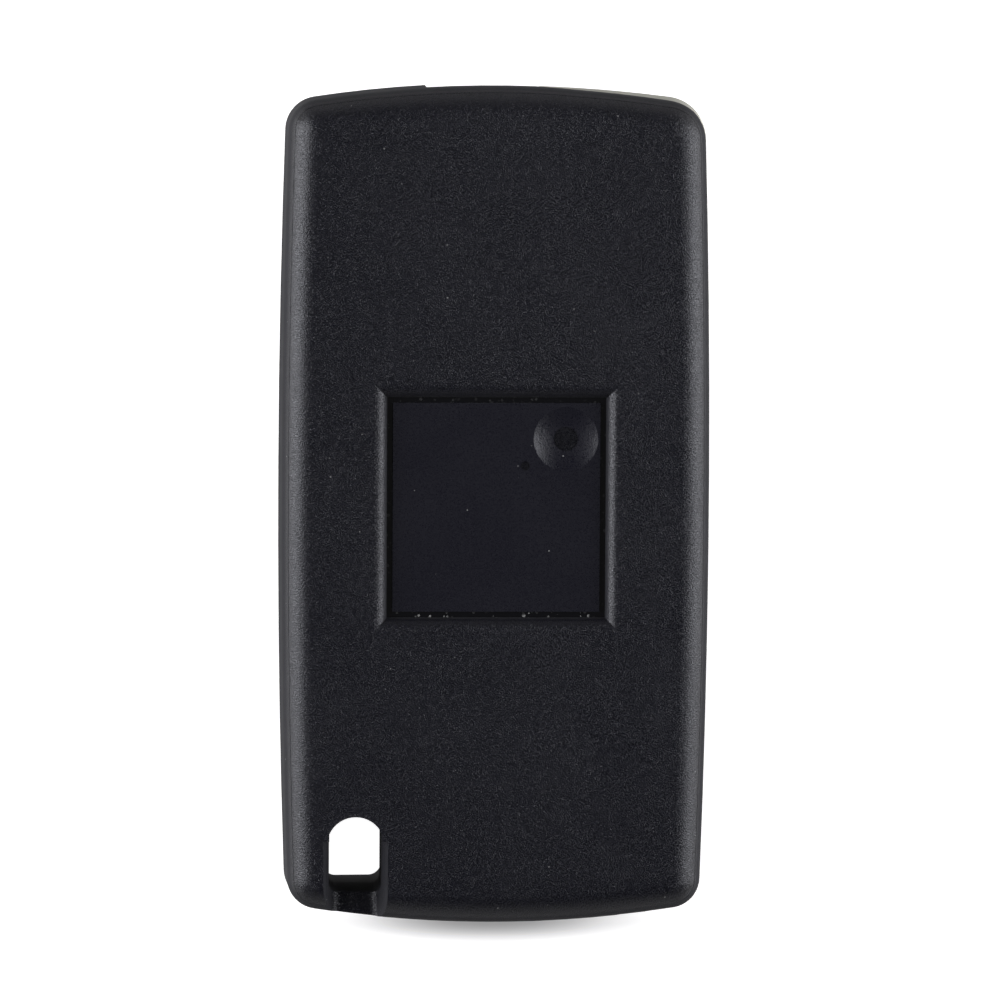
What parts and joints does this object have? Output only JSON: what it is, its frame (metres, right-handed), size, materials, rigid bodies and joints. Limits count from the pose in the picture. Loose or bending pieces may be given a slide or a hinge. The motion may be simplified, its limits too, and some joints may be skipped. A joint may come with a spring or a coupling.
{
  "type": "flip key remote shell",
  "caption": "Folded flip key remote shell: a rectangular two-part case with a blank square badge recess, a key-ring slot, and a swing-out blade.",
  "frame": {"origin": "middle of the button face, on the surface that the folded key lies on", "axes": "+Y towards the flip head's end, +X towards the side that the blade folds into, +Z out of the badge face"},
  "size_m": [0.0369, 0.0718, 0.015],
  "materials": {
    "rear_shell": "fine spark grain",
    "front_shell": "fine spark grain",
    "flip_head": "satin cast metal",
    "key_blade": "milled, nickel plated",
    "spring_steel": "bright wire",
    "release_core": "smooth",
    "release_cap": "satin chrome",
    "button_caps": "fine satin",
    "keypad_rubber": "silicone",
    "contact_strip": "nickel-plated strip"
  },
  "bodies": {
    "case": {"rear_shell": "rear_shell", "front_shell": "front_shell", "keypad_membrane": "keypad_rubber", "chip_cover": "release_core", "battery_contact_negative": "contact_strip", "battery_contact_positive": "contact_strip"},
    "flip": {"flip_head": "flip_head", "key_blade": "key_blade", "blade_roll_pin": "spring_steel", "pivot_washer": "spring_steel", "flip_spring": "spring_steel"},
    "release": {"release_core": "release_core", "release_cap": "release_cap"},
    "lock": {"lock_button": "button_caps"},
    "boot": {"boot_button": "button_caps"},
    "unlock": {"unlock_button": "button_caps"}
  },
  "joints": [
    {"name": "blade_flip", "type": "hinge", "parent": "case", "child": "flip", "pos_m": [0.0064, 0.0255, 0.007], "axis": [0, 0, 1], "range_deg": [0, 180]},
    {"name": "release_press", "type": "slide", "parent": "flip", "child": "release", "axis": [0, 0, 1], "range_m": [0, 0.0024], "stiffness_N_per_m": 2500, "springref_m": -0.001, "deforming": ["flip_spring"]},
    {"name": "lock_press", "type": "slide", "parent": "case", "child": "lock", "axis": [0, 0, 1], "range_m": [0, 0.0005], "stiffness_N_per_m": 3000, "springref_m": -0.0002},
    {"name": "boot_press", "type": "slide", "parent": "case", "child": "boot", "axis": [0, 0, 1], "range_m": [0, 0.0005], "stiffness_N_per_m": 3000, "springref_m": -0.0002},
    {"name": "unlock_press", "type": "slide", "parent": "case", "child": "unlock", "axis": [0, 0, 1], "range_m": [0, 0.0005], "stiffness_N_per_m": 3000, "springref_m": -0.0002}
  ]
}
